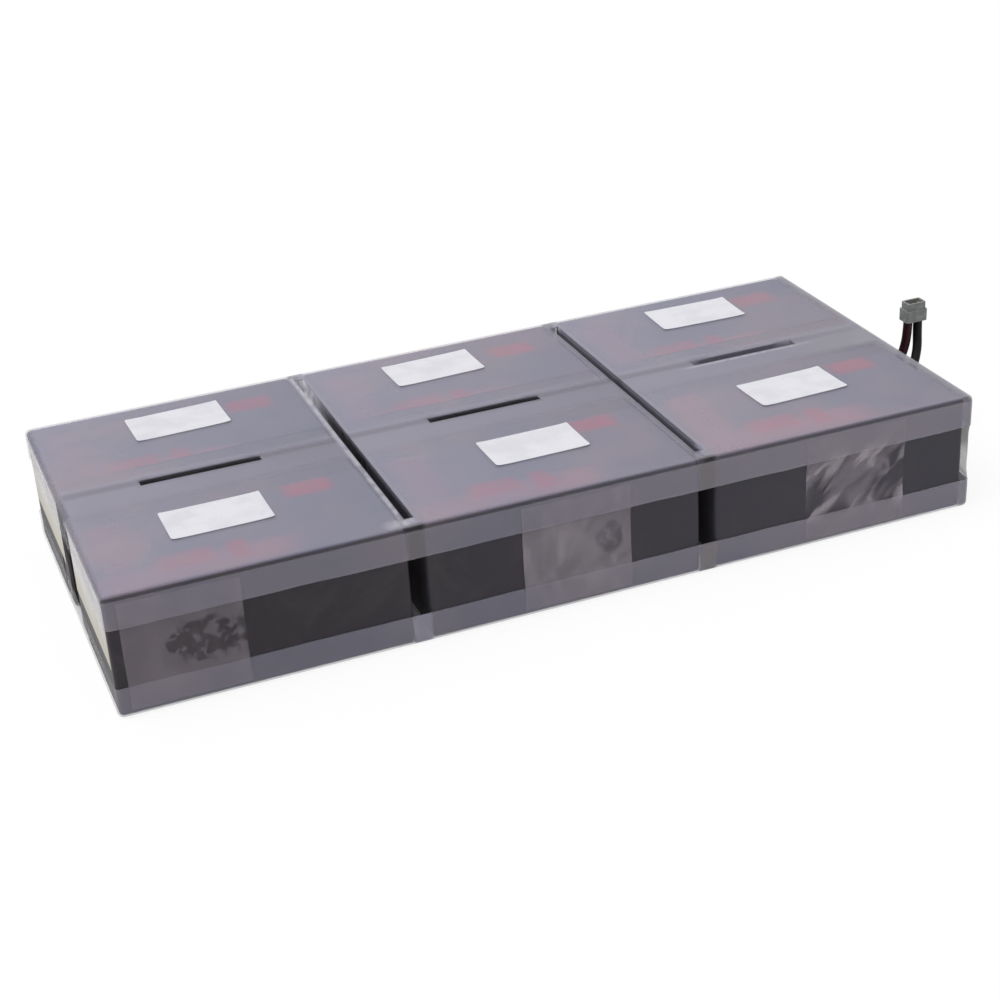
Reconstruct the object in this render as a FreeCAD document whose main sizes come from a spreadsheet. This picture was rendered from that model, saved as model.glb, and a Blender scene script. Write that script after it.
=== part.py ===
import FreeCAD, Part
import Sketcher
import math
import os
import re

doc = FreeCAD.newDocument("UpsBatteryPack")
sheet = doc.addObject("Spreadsheet::Sheet", "Sizes")

# Driving sizes in millimetres. X runs along the pack, Y to its back, Z up.
table = (
    # one sealed battery lying on its broad side, terminals along +Y
    ("case_length", 151.0),
    ("case_depth", 94.0),
    ("case_thick", 65.0),
    ("case_edge", 2.5),
    ("lid_depth", 18.0),
    ("lid_inset", 0.3),
    ("lid_chamfer", 1.2),
    ("vent_length", 98.0),
    ("vent_width", 32.0),
    ("vent_thick", 1.8),
    ("vent_proud", 0.5),
    ("vent_gap", 0.2),
    ("vent_edge", 0.6),
    # flat tab terminals in shallow pockets of the lid
    ("terminal_inset", 12.0),
    ("terminal_rise", 22.5),
    ("terminal_pocket_length", 13.0),
    ("terminal_pocket_width", 11.0),
    ("terminal_pocket_depth", 2.0),
    ("tab_width", 6.35),
    ("tab_thick", 0.8),
    ("tab_reach", 6.0),
    ("tab_hole", 1.8),
    # layout of the six batteries
    ("column_gap", 9.0),
    ("channel_width", 22.0),
    ("end_room", 4.5),
    # formed trays
    ("tray_sheet", 0.8),
    ("tray_gap", 0.2),
    ("tray_corner", 3.2),
    ("tray_edge", 3.0),
    ("top_rim", 17.5),
    ("bottom_rim", 16.5),
    ("groove_width", 5.0),
    ("groove_depth", 8.0),
    ("groove_stop", 10.0),
    ("slot_width", 6.0),
    ("slot_length", 65.0),
    ("slot_depth", 8.0),
    ("slot_gap", 0.3),
    # flag receptacles on the tabs, and the wires between them
    ("receptacle_wall", 0.7),
    ("receptacle_gap", 0.1),
    ("receptacle_length", 6.2),
    ("receptacle_start", 0.3),
    ("barrel_diameter", 4.0),
    ("barrel_length", 6.0),
    ("barrel_root", 0.5),
    ("strap_width", 3.0),
    ("wire_diameter", 5.5),
    # plug on the two leads
    ("plug_out", 33.5),
    ("plug_side", 8.0),
    ("plug_rise", 64.0),
    ("plug_width", 14.0),
    ("plug_depth", 9.6),
    ("plug_height", 7.0),
    ("plug_edge", 1.5),
    ("nose_wall", 1.1),
    ("nose_height", 4.5),
    ("nose_edge", 0.8),
    ("cavity_width", 9.8),
    ("cavity_depth", 5.6),
    ("cavity_deep", 4.5),
    ("pole_pitch", 6.6),
    ("pole_bore", 3.5),
    ("bore_gap", 0.15),
    ("blade_thick", 0.8),
    ("blade_width", 3.5),
    ("blade_gap", 0.1),
    ("blade_set_back", 1.2),
    ("red_drop", 3.9),
    ("black_drop", 6.9),
    # tape across both rims, stickers and end labels
    ("tape_width", 60.0),
    ("tape_thick", 0.15),
    ("tape_margin", 4.0),
    ("tape_shift_left", -39.5),
    ("tape_shift_middle", 5.5),
    ("tape_shift_right", 8.0),
    ("sticker_length", 53.0),
    ("sticker_width", 31.0),
    ("sticker_thick", 0.15),
    ("sticker_rise_front", 10.6),
    ("sticker_rise_back", 16.0),
    ("sticker_shift_front_left", -5.4),
    ("sticker_shift_front_middle", 6.5),
    ("sticker_shift_front_right", 1.5),
    ("sticker_shift_back_left", 3.6),
    ("sticker_shift_back_middle", -5.5),
    ("sticker_shift_back_right", 3.0),
    ("label_length", 86.0),
    ("label_height", 36.0),
    ("label_rise", 43.5),
    ("label_thick", 0.1),
)
for row, (alias, value) in enumerate(table, start=1):
    sheet.set("A%d" % row, alias)
    sheet.set("B%d" % row, str(value))
    sheet.setAlias("B%d" % row, alias)
doc.recompute()

sub_parts = []


def formula(text):
    return re.sub(r"\b[a-z]+(?:_[a-z]+)+\b", lambda word: "Sizes." + word.group(0), text)


def bind(item, pairs):
    for name, text in pairs.items():
        item.setExpression(name, formula(text))


def value_of(text):
    return float(sheet.evalExpression(formula(text).replace("Sizes.", "")))


def keep(item, label):
    item.Label = label
    sub_parts.append(item)
    return item


def origin_part(body, role):
    return next(item for item in body.Origin.OriginFeatures if item.Role == role)


def edges_where(feature, test):
    doc.recompute()
    found = ["Edge%d" % (index + 1) for index, edge in enumerate(feature.Shape.Edges) if test(edge)]
    return (feature, found)


def rectangle(body, name, wide, tall, x="0", y="0", z="0"):
    sketch = body.newObject("Sketcher::SketchObject", name)
    sketch.AttachmentSupport = [(origin_part(body, "XY_Plane"), "")]
    sketch.MapMode = "FlatFace"
    corners = [FreeCAD.Vector(a, b, 0) for a, b in ((-1, -1), (1, -1), (1, 1), (-1, 1))]
    for index in range(4):
        sketch.addGeometry(Part.LineSegment(corners[index], corners[(index + 1) % 4]), False)
    for index in range(4):
        sketch.addConstraint(Sketcher.Constraint("Coincident", index, 2, (index + 1) % 4, 1))
    for index in (0, 2):
        sketch.addConstraint(Sketcher.Constraint("Horizontal", index))
    for index in (1, 3):
        sketch.addConstraint(Sketcher.Constraint("Vertical", index))
    sketch.addConstraint(Sketcher.Constraint("Symmetric", 0, 1, 1, 2, -1, 1))
    sketch.renameConstraint(sketch.addConstraint(Sketcher.Constraint("DistanceX", 0, 1, 0, 2, 2.0)), "wide")
    sketch.renameConstraint(sketch.addConstraint(Sketcher.Constraint("DistanceY", 1, 1, 1, 2, 2.0)), "tall")
    bind(sketch, {"Constraints.wide": wide, "Constraints.tall": tall})
    bind(sketch, {"AttachmentOffset.Base.x": x, "AttachmentOffset.Base.y": y, "AttachmentOffset.Base.z": z})
    return sketch


def circle(body, name, diameter, x="0", y="0", z="0"):
    sketch = body.newObject("Sketcher::SketchObject", name)
    sketch.AttachmentSupport = [(origin_part(body, "XY_Plane"), "")]
    sketch.MapMode = "FlatFace"
    sketch.addGeometry(Part.Circle(FreeCAD.Vector(0, 0, 0), FreeCAD.Vector(0, 0, 1), 1.0), False)
    sketch.addConstraint(Sketcher.Constraint("Coincident", 0, 3, -1, 1))
    sketch.renameConstraint(sketch.addConstraint(Sketcher.Constraint("Diameter", 0, 2.0)), "across")
    bind(sketch, {"Constraints.across": diameter})
    bind(sketch, {"AttachmentOffset.Base.x": x, "AttachmentOffset.Base.y": y, "AttachmentOffset.Base.z": z})
    return sketch


def swept(body, kind, name, sketch, length, upward):
    feature = body.newObject("PartDesign::" + kind, name)
    feature.Profile = sketch
    bind(feature, {"Length": length})
    feature.Reversed = upward if kind == "Pocket" else not upward
    return feature


def repeated(body, name, originals, length, count):
    doc.recompute()
    pattern = body.newObject("PartDesign::LinearPattern", name)
    pattern.Originals = originals
    pattern.Direction = (origin_part(body, "X_Axis"), [""])
    bind(pattern, {"Length": length})
    pattern.Occurrences = count
    body.Tip = pattern
    doc.recompute()
    return pattern


def box(name, size, centre):
    item = doc.addObject("Part::Box", name)
    for side, axis, span, middle in zip(("Length", "Width", "Height"), "xyz", size, centre):
        bind(item, {side: span, "Placement.Base." + axis: "(%s) - (%s) / 2" % (middle, span)})
    return item


def rod_along_x(name, diameter, start, end, y, z):
    item = doc.addObject("Part::Cylinder", name)
    item.Placement.Rotation = FreeCAD.Rotation(FreeCAD.Vector(0, 1, 0), 90)
    bind(item, {"Radius": "(%s) / 2" % diameter, "Height": "(%s) - (%s)" % (end, start)})
    bind(item, {"Placement.Base.x": start, "Placement.Base.y": y, "Placement.Base.z": z})
    return item


def cut(name, base, tool):
    item = doc.addObject("Part::Cut", name)
    item.Base = base
    item.Tool = tool
    return item


def fuse(name, shapes):
    item = doc.addObject("Part::MultiFuse", name)
    item.Shapes = shapes
    return item


def group(name, items):
    item = doc.addObject("Part::Compound", name)
    item.Links = items
    return item


# Shared distances, each made of the sizes above.
column_pitch = "(case_length + column_gap)"
tray_length = "(3 * case_length + 2 * column_gap + end_room + 2 * tray_gap + 2 * tray_sheet)"
tray_width = "(2 * case_depth + channel_width + 2 * tray_gap + 2 * tray_sheet)"
tray_height = "(case_thick + 2 * tray_sheet)"
row_offset = "(channel_width / 2 + case_depth / 2)"
terminal_offset = "(case_length / 2 - terminal_inset)"
terminal_height = "(tray_sheet + terminal_rise)"
receptacle_width = "(tab_width + 2 * receptacle_gap + 2 * receptacle_wall)"
receptacle_height = "(tab_thick + 2 * receptacle_wall)"
receptacle_offset = "(channel_width / 2 - receptacle_start - receptacle_length / 2)"
barrel_end = "(%s / 2 + barrel_length)" % receptacle_width
plug_centre = "(%s / 2 + plug_out)" % tray_length

columns = (("left", "-1"), ("middle", "0"), ("right", "1"))
rows = (("front", "-1"), ("back", "1"))


# Middle of a column: the batteries stand against the left end and leave room at the end with the leads.
def column_x(sign):
    return "(%s * %s - end_room / 2)" % (sign, column_pitch)


# Formed tray: a padded block hollowed from its open side, with ribs pressed in from the flat side.
def formed_tray(label, rim):
    body = doc.addObject("PartDesign::Body", label)
    outline = rectangle(body, label + "_outline", tray_length, tray_width)
    block = swept(body, "Pad", label + "_block", outline, rim, True)
    doc.recompute()
    top = block.Shape.BoundBox.ZMax
    corners = body.newObject("PartDesign::Fillet", label + "_corners")
    corners.Base = edges_where(block, lambda edge: edge.BoundBox.ZLength > 1e-3)
    bind(corners, {"Radius": "tray_corner"})
    shoulder = body.newObject("PartDesign::Fillet", label + "_shoulder")
    shoulder.Base = edges_where(corners, lambda edge: edge.BoundBox.ZMin > top - 1e-3)
    bind(shoulder, {"Radius": "tray_edge"})
    doc.recompute()
    open_side = ["Face%d" % (index + 1) for index, face in enumerate(shoulder.Shape.Faces)
                 if face.BoundBox.ZMax < 1e-3]
    shell = body.newObject("PartDesign::Thickness", label + "_shell")
    shell.Base = (shoulder, open_side)
    bind(shell, {"Value": "tray_sheet"})
    shell.Reversed = True
    shell.Join = "Intersection"
    doc.recompute()

    groove_length = "(%s - 2 * groove_stop)" % tray_width
    groove_x = "-1 * %s / 2 - end_room / 2" % column_pitch
    rib_outline = rectangle(body, label + "_groove_rib_outline", "groove_width + 2 * tray_sheet",
                            groove_length + " + 2 * tray_sheet", x=groove_x, z=rim + " - tray_sheet")
    rib = swept(body, "Pad", label + "_groove_rib", rib_outline, "groove_depth", False)
    groove_outline = rectangle(body, label + "_groove_outline", "groove_width", groove_length,
                               x=groove_x, z=rim)
    groove = swept(body, "Pocket", label + "_groove", groove_outline, "groove_depth", False)
    repeated(body, label + "_grooves", [rib, groove], column_pitch, 2)

    slot_x = column_x("-1")
    slot_y = "channel_width / 2 - slot_gap - tray_sheet - slot_width / 2"
    slot_rib_outline = rectangle(body, label + "_slot_rib_outline", "slot_length + 2 * tray_sheet",
                                 "slot_width + 2 * tray_sheet", x=slot_x, y=slot_y, z=rim + " - tray_sheet")
    slot_rib = swept(body, "Pad", label + "_slot_rib", slot_rib_outline, "slot_depth", False)
    slot_outline = rectangle(body, label + "_slot_outline", "slot_length", "slot_width",
                             x=slot_x, y=slot_y, z=rim)
    slot = swept(body, "Pocket", label + "_slot", slot_outline, "slot_depth", False)
    repeated(body, label + "_slots", [slot_rib, slot], "2 * " + column_pitch, 3)
    return keep(body, label)


top_tray = formed_tray("top_tray", "top_rim")
bind(top_tray, {"Placement.Base.z": tray_height + " - top_rim"})
bottom_tray = formed_tray("bottom_tray", "bottom_rim")
bottom_tray.Placement.Rotation = FreeCAD.Rotation(FreeCAD.Vector(1, 0, 0), 180)
bind(bottom_tray, {"Placement.Base.z": "bottom_rim"})


# Battery pieces stand in a frame of their own and are turned about Z for the back row.
def seat_battery_piece(body, row, row_sign, column_sign):
    body.Placement.Rotation = FreeCAD.Rotation(FreeCAD.Vector(0, 0, 1), 180 if row == "back" else 0)
    bind(body, {"Placement.Base.x": column_x(column_sign),
                "Placement.Base.y": "%s * %s" % (row_sign, row_offset),
                "Placement.Base.z": "tray_sheet"})


def battery_case(label):
    body = doc.addObject("PartDesign::Body", label)
    outline = rectangle(body, label + "_outline", "case_length", "case_depth - lid_depth",
                        y="-1 * lid_depth / 2")
    block = swept(body, "Pad", label + "_block", outline, "case_thick", True)
    doc.recompute()
    seam = block.Shape.BoundBox.YMax
    rounded = body.newObject("PartDesign::Fillet", label + "_rounded")
    rounded.Base = edges_where(block, lambda edge: edge.BoundBox.YMin < seam - 1e-3)
    bind(rounded, {"Radius": "case_edge"})
    return keep(body, label)


def battery_lid(label):
    body = doc.addObject("PartDesign::Body", label)
    outline = rectangle(body, label + "_outline", "case_length - 2 * lid_inset", "lid_depth",
                        y="case_depth / 2 - lid_depth / 2", z="lid_inset")
    block = swept(body, "Pad", label + "_block", outline, "case_thick - 2 * lid_inset", True)
    doc.recompute()
    face = block.Shape.BoundBox.YMax
    sides = body.newObject("PartDesign::Fillet", label + "_sides")
    sides.Base = edges_where(block, lambda edge: edge.BoundBox.YLength > 1e-3)
    bind(sides, {"Radius": "case_edge"})
    rim = body.newObject("PartDesign::Chamfer", label + "_rim")
    rim.Base = edges_where(sides, lambda edge: edge.BoundBox.YMin > face - 1e-3)
    bind(rim, {"Size": "lid_chamfer"})
    pocket_outline = rectangle(body, label + "_pocket_outline", "terminal_pocket_length",
                               "terminal_pocket_depth", x="-1 * " + terminal_offset,
                               y="case_depth / 2 - terminal_pocket_depth / 2",
                               z="terminal_rise + terminal_pocket_width / 2")
    pocket = swept(body, "Pocket", label + "_pocket", pocket_outline, "terminal_pocket_width", False)
    repeated(body, label + "_pockets", [pocket], "2 * " + terminal_offset, 2)
    vent_outline = rectangle(body, label + "_vent_outline", "vent_length + 2 * vent_gap",
                             "vent_thick - vent_proud", y="case_depth / 2 - (vent_thick - vent_proud) / 2",
                             z="case_thick / 2 + vent_width / 2 + vent_gap")
    swept(body, "Pocket", label + "_vent", vent_outline, "vent_width + 2 * vent_gap", False)
    return keep(body, label)


def vent_cover(label):
    body = doc.addObject("PartDesign::Body", label)
    outline = rectangle(body, label + "_outline", "vent_length", "vent_thick",
                        y="case_depth / 2 + vent_proud - vent_thick / 2", z="case_thick / 2 - vent_width / 2")
    plate = swept(body, "Pad", label + "_plate", outline, "vent_width", True)
    doc.recompute()
    face = plate.Shape.BoundBox.YMax
    rim = body.newObject("PartDesign::Chamfer", label + "_rim")
    rim.Base = edges_where(plate, lambda edge: edge.BoundBox.YMin > face - 1e-3)
    bind(rim, {"Size": "min(vent_edge; vent_thick / 2)"})
    return keep(body, label)


def terminal_tabs(label, row_sign, column_sign):
    tabs = []
    length = "(terminal_pocket_depth + tab_reach)"
    root_y = "(channel_width / 2 + terminal_pocket_depth - %s / 2)" % length
    for side, sign in (("low", "-1"), ("high", "1")):
        name = "%s_%s" % (label, side)
        x = "%s + %s * %s" % (column_x(column_sign), sign, terminal_offset)
        blade = box(name + "_blade", ("tab_width", length, "tab_thick"),
                    (x, "%s * %s" % (row_sign, root_y), terminal_height))
        hole = doc.addObject("Part::Cylinder", name + "_hole")
        bind(hole, {"Radius": "tab_hole / 2", "Height": "2 * tab_thick"})
        bind(hole, {"Placement.Base.x": x,
                    "Placement.Base.y": "%s * (channel_width / 2 - tab_reach / 2)" % row_sign,
                    "Placement.Base.z": terminal_height + " - tab_thick"})
        tabs.append(cut(name, blade, hole))
    return keep(group(label, tabs), label)


for row, row_sign in rows:
    for column, column_sign in columns:
        stem = "battery_%s_%s_" % (row, column)
        for piece in (battery_case(stem + "case"), battery_lid(stem + "lid"), vent_cover(stem + "vent_cover")):
            seat_battery_piece(piece, row, row_sign, column_sign)
        terminal_tabs(stem + "terminals", row_sign, column_sign)


# Flag receptacle: a sleeve closed on the tab, with a crimp barrel along X.
def receptacle_sleeve(name, row_sign, x):
    y = "%s * %s" % (row_sign, receptacle_offset)
    outer = box(name + "_outer", (receptacle_width, "receptacle_length", receptacle_height),
                (x, y, terminal_height))
    opening = box(name + "_opening", ("tab_width + 2 * receptacle_gap", "2 * receptacle_length", "tab_thick"),
                  (x, y, terminal_height))
    return cut(name + "_sleeve", outer, opening)


def flag_receptacle(name, row_sign, x, toward):
    y = "%s * %s" % (row_sign, receptacle_offset)
    sleeve = receptacle_sleeve(name, row_sign, x)
    near = "(%s / 2 - barrel_root)" % receptacle_width
    if toward > 0:
        span = ("%s + %s" % (x, near), "%s + %s" % (x, barrel_end))
    else:
        span = ("%s - %s" % (x, barrel_end), "%s - %s" % (x, near))
    barrel = rod_along_x(name + "_barrel", "barrel_diameter", span[0], span[1], y, terminal_height)
    return fuse(name, [sleeve, barrel])


for row, row_sign in rows:
    for side, left_column in (("left", "-1"), ("right", "0")):
        label = "link_%s_%s" % (row, side)
        start = "(%s + %s)" % (column_x(left_column), terminal_offset)
        end = "(%s + %s - %s)" % (column_x(left_column), column_pitch, terminal_offset)
        y = "%s * %s" % (row_sign, receptacle_offset)
        wire = rod_along_x(label, "wire_diameter", "%s + %s" % (start, barrel_end),
                           "%s - %s" % (end, barrel_end), y, terminal_height)
        keep(wire, label)
        ends = [flag_receptacle(label + "_first", row_sign, start, 1),
                flag_receptacle(label + "_second", row_sign, end, -1)]
        keep(group(label + "_receptacles", ends), label + "_receptacles")

# Strap across the channel at the left end: two sleeves joined by a flat bar.
strap_x = "(%s - %s)" % (column_x("-1"), terminal_offset)
strap_bar = box("link_cross_strap_bar",
                ("strap_width", "2 * %s + receptacle_length" % receptacle_offset, receptacle_height),
                ("%s + %s / 2 + strap_width / 2" % (strap_x, receptacle_width), "0", terminal_height))
strap_sleeves = [receptacle_sleeve("link_cross_strap_" + row, row_sign, strap_x) for row, row_sign in rows]
keep(fuse("link_cross_strap", strap_sleeves + [strap_bar]), "link_cross_strap")

# Plug housing: a block with a shrouded nose, two wire bores below and two blade slots.
plug = doc.addObject("PartDesign::Body", "plug_housing")
plug_block = swept(plug, "Pad", "plug_block", rectangle(plug, "plug_outline", "plug_width", "plug_depth"),
                   "plug_height", True)
plug_rounded = plug.newObject("PartDesign::Fillet", "plug_rounded")
plug_rounded.Base = edges_where(plug_block, lambda edge: edge.BoundBox.ZLength > 1e-3)
bind(plug_rounded, {"Radius": "plug_edge"})
nose_outline = rectangle(plug, "nose_outline", "cavity_width + 2 * nose_wall", "cavity_depth + 2 * nose_wall",
                         z="plug_height")
nose = swept(plug, "Pad", "nose", nose_outline, "nose_height", True)
doc.recompute()
nose_base = value_of("plug_height")
nose_rounded = plug.newObject("PartDesign::Fillet", "nose_rounded")
nose_rounded.Base = edges_where(nose, lambda edge: edge.BoundBox.ZMin > nose_base - 1e-3
                                and edge.BoundBox.ZLength > 1e-3)
bind(nose_rounded, {"Radius": "min(nose_edge; nose_wall)"})
cavity_outline = rectangle(plug, "cavity_outline", "cavity_width", "cavity_depth", z="plug_height + nose_height")
swept(plug, "Pocket", "cavity", cavity_outline, "cavity_deep", False)
slot_outline = rectangle(plug, "blade_slot_outline", "blade_thick", "blade_width + 2 * blade_gap",
                         x="-1 * pole_pitch / 2", z="plug_height + nose_height - cavity_deep")
blade_slot = swept(plug, "Pocket", "blade_slot", slot_outline,
                   "plug_height + nose_height - cavity_deep - pole_bore", False)
bore_outline = circle(plug, "bore_outline", "wire_diameter + 2 * bore_gap", x="-1 * pole_pitch / 2")
bore = swept(plug, "Pocket", "bore", bore_outline, "pole_bore", True)
repeated(plug, "poles", [blade_slot, bore], "pole_pitch", 2)
bind(plug, {"Placement.Base.x": plug_centre, "Placement.Base.y": "plug_side", "Placement.Base.z": "plug_rise"})
keep(plug, "plug_housing")

# Two flat blades stand in the slots, from the wire ends up into the nose.
blade_height = "(plug_height + nose_height - pole_bore - blade_set_back)"
blades = [box("plug_blade_" + side, ("blade_thick", "blade_width", blade_height),
              ("%s + %s * pole_pitch / 2" % (plug_centre, sign), "plug_side",
               "plug_rise + pole_bore + %s / 2" % blade_height))
          for side, sign in (("red", "-1"), ("black", "1"))]
keep(group("plug_contacts", blades), "plug_contacts")


# Lead: a round tube along straight runs joined by tangent arcs.
def lead_wire(points):
    share = 0.45
    edges = []
    radii = []
    last = points[0]
    for before, corner, after in zip(points, points[1:], points[2:]):
        arriving = (corner - before).normalize()
        leaving = (after - corner).normalize()
        half_turn = arriving.getAngle(leaving) / 2
        reach = share * min((corner - before).Length, (after - corner).Length)
        radii.append(reach / math.tan(half_turn))
        first = corner - arriving * reach
        final = corner + leaving * reach
        inward = (leaving - arriving).normalize()
        centre = corner + inward * (radii[-1] / math.cos(half_turn))
        middle = centre - inward * radii[-1]
        edges.append(Part.LineSegment(last, first).toShape())
        edges.append(Part.Arc(first, middle, final).toShape())
        last = final
    edges.append(Part.LineSegment(last, points[-1]).toShape())
    return Part.Wire(edges), radii


def lead(label, row_sign, pole_sign, drop, steps):
    start = FreeCAD.Vector(value_of("%s + %s + %s" % (column_x("1"), terminal_offset, barrel_end)),
                           value_of("%s * %s" % (row_sign, receptacle_offset)), value_of(terminal_height))
    pole = FreeCAD.Vector(value_of("%s + %s * pole_pitch / 2" % (plug_centre, pole_sign)),
                          value_of("plug_side"), value_of("plug_rise"))
    points = [start]
    points += [start + FreeCAD.Vector(*step) for step in steps]
    points.append(pole - FreeCAD.Vector(0, 0, value_of(drop)))
    points.append(pole + FreeCAD.Vector(0, 0, value_of("pole_bore")))
    path, radii = lead_wire(points)
    radius = value_of("wire_diameter / 2")
    profile = Part.Wire(Part.makeCircle(radius, start, FreeCAD.Vector(1, 0, 0)))
    item = doc.addObject("Part::Feature", label)
    item.Shape = path.makePipeShell([profile], True, True)
    item.Placement = FreeCAD.Placement()
    full = math.pi * radius ** 2 * path.Length
    print(label, "length %.1f" % path.Length, "radii", ["%.1f" % size for size in radii],
          "volume share %.4f" % (item.Shape.Volume / full))
    print(label, "points", [tuple(round(part, 2) for part in point) for point in points])
    return keep(item, label)


red_steps = ((11.5, 0.0, 0.0), (22.8, 0.4, 4.3), (31.9, 1.1, 12.7), (37.1, 1.3, 24.0))
black_steps = ((13.7, 0.0, 0.0), (26.9, 3.9, 3.4), (37.0, 7.9, 11.4), (42.9, 12.2, 22.0))
lead("lead_red", "1", "-1", "red_drop", red_steps)
lead("lead_black", "-1", "1", "black_drop", black_steps)
for colour, row_sign in (("red", "1"), ("black", "-1")):
    label = "lead_%s_receptacle" % colour
    keep(flag_receptacle(label, row_sign, "(%s + %s)" % (column_x("1"), terminal_offset), 1), label)

# Tape across the open band on the front, the back and the right end, stickers on top, labels on the left end.
tape_height = tray_height + " - 2 * tape_margin"
for row, row_sign in rows:
    for column, column_sign in columns:
        label = "tape_%s_%s" % (row, column)
        tape_x = "%s + tape_shift_%s" % (column_x(column_sign), column)
        keep(box(label, ("tape_width", "tape_thick", tape_height),
                 (tape_x, "%s * (%s / 2 + tape_thick / 2)" % (row_sign, tray_width), tray_height + " / 2")), label)
        label = "sticker_%s_%s" % (row, column)
        keep(box(label, ("sticker_length", "sticker_width", "sticker_thick"),
                 ("%s + sticker_shift_%s_%s" % (column_x(column_sign), row, column),
                  "%s * %s + sticker_rise_%s" % (row_sign, row_offset, row),
                  tray_height + " + sticker_thick / 2")), label)
    label = "tape_end_" + row
    keep(box(label, ("tape_thick", "tape_width", tape_height),
             ("%s / 2 + tape_thick / 2" % tray_length,
              "%s * (%s / 2 - tray_corner - tape_width / 2)" % (row_sign, tray_width), tray_height + " / 2")), label)
    label = "end_label_" + row
    keep(box(label, ("label_thick", "label_length", "label_height"),
             ("%s - case_length / 2 - label_thick / 2" % column_x("-1"), "%s * %s" % (row_sign, row_offset),
              "label_rise")), label)

doc.recompute()
for item in doc.Objects:
    if "Invalid" in item.State or "Error" in item.State:
        raise RuntimeError("not built: %s %s" % (item.Name, item.State))
for item in sub_parts:
    if item.Shape.isNull() or not item.Shape.isValid() or not item.Shape.Solids:
        raise RuntimeError("bad shape: " + item.Label)

os.makedirs("parts", exist_ok=True)
for item in sub_parts:
    item.Shape.exportStep("parts/%s.step" % item.Label)
print(len(sub_parts), "sub-parts written")
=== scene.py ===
import math
import bmesh
import bpy
from mathutils import Matrix, Vector, noise


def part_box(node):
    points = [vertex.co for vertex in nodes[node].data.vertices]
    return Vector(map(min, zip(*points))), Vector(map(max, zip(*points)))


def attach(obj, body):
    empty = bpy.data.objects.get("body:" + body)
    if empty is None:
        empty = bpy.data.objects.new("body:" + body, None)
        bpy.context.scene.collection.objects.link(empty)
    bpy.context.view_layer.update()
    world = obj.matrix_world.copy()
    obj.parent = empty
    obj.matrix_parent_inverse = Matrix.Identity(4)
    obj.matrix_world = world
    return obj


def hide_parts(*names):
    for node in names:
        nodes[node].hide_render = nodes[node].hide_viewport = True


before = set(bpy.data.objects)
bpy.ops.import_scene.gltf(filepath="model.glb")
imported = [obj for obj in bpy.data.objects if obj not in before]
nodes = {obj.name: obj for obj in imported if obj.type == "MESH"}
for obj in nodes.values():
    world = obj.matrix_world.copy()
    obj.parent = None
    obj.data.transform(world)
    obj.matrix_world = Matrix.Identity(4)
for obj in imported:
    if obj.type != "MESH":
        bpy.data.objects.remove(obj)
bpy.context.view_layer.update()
scene = bpy.context.scene
print("frame:", len(nodes), "nodes")


# camera, turned to the view of the picture
shot = {"azimuth": -20.110, "elevation": 27.263, "roll": -3.576, "lens": 69.802,
        "distance": 1.0922, "aside": 0.0005, "above": 0.0113, "sensor": 36, "near": 0.02, "far": 60}


def placeCamera(s):
    turn, tilt, roll = (math.radians(s[k]) for k in ("azimuth", "elevation", "roll"))
    back = Vector((math.sin(turn) * math.cos(tilt), -math.cos(turn) * math.cos(tilt), math.sin(tilt)))
    flat = Vector((math.cos(turn), math.sin(turn), 0))
    rise = back.cross(flat)
    right = flat * math.cos(roll) + rise * math.sin(roll)
    up = rise * math.cos(roll) - flat * math.sin(roll)
    data = bpy.data.cameras.new("viewCamera")
    data.sensor_width, data.sensor_fit, data.lens = s["sensor"], "HORIZONTAL", s["lens"]
    data.clip_start, data.clip_end = s["near"], s["far"]
    camera = bpy.data.objects.new("viewCamera", data)
    place = Matrix((right, up, back)).transposed().to_4x4()
    place.translation = back * s["distance"] + right * s["aside"] + up * s["above"]
    camera.matrix_world = place
    scene.collection.objects.link(camera)
    scene.camera = camera


placeCamera(shot)
print("camera: lens", shot["lens"], "mm")


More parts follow.
